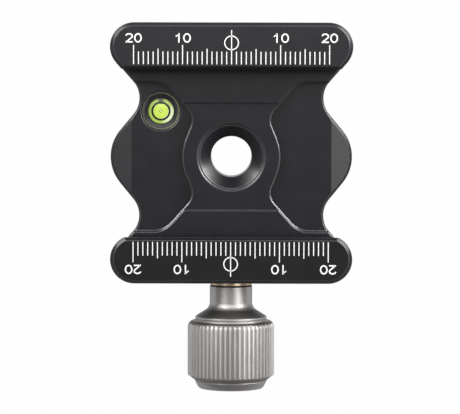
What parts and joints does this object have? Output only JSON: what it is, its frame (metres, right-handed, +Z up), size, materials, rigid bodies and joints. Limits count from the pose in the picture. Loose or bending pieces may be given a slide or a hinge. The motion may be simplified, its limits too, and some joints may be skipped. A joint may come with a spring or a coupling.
{
  "type": "dovetail quick release clamp",
  "caption": "Machined dovetail quick release clamp with a sliding jaw, a knurled screw knob, engraved millimetre scales and a round bubble level.",
  "frame": {"origin": "centre of the bounding box's bottom face, on the plane of the clamp's underside", "axes": "+X along the jaws, +Y along the clamping screw from the knob to the fixed jaw, +Z up out of the clamping face"},
  "size_m": [0.05, 0.0756, 0.0185],
  "materials": {
    "black_anodised": "bead blasted, black anodised, satin",
    "knob_metal": "turned, titanium grey anodised",
    "brass": "turned",
    "steel": "ground",
    "black_plastic": "matte",
    "clear_plastic": "clear, polished",
    "level_liquid": "yellow-green"
  },
  "bodies": {
    "clamp": {"clamp_body": "black_anodised", "level_vial": "clear_plastic", "level_fluid": "level_liquid", "level_plug": "clear_plastic", "jaw_spring_left": "steel", "jaw_spring_right": "steel", "stop_screw": "steel"},
    "jaw": {"movable_jaw": "black_anodised", "guide_pin_left": "steel", "guide_pin_right": "steel", "brass_washer": "brass"},
    "knob": {"knob": "knob_metal", "clamping_screw": "steel", "slip_washer": "black_plastic"}
  },
  "joints": [
    {"name": "jaw_slide", "type": "slide", "parent": "clamp", "child": "jaw", "axis": [0, -1, 0], "range_m": [-0.0012, 0.006], "deforming": ["jaw_spring_left", "jaw_spring_right"]},
    {"name": "knob_turn", "type": "hinge", "parent": "jaw", "child": "knob", "pos_m": [0, -0.01541, 0.00909], "axis": [0, -1, 0], "range_deg": [-432, 2160]}
  ],
  "couplings": [
    {"joint": "knob_turn", "follows": "jaw_slide", "rad_per_m": 6283.2}
  ]
}
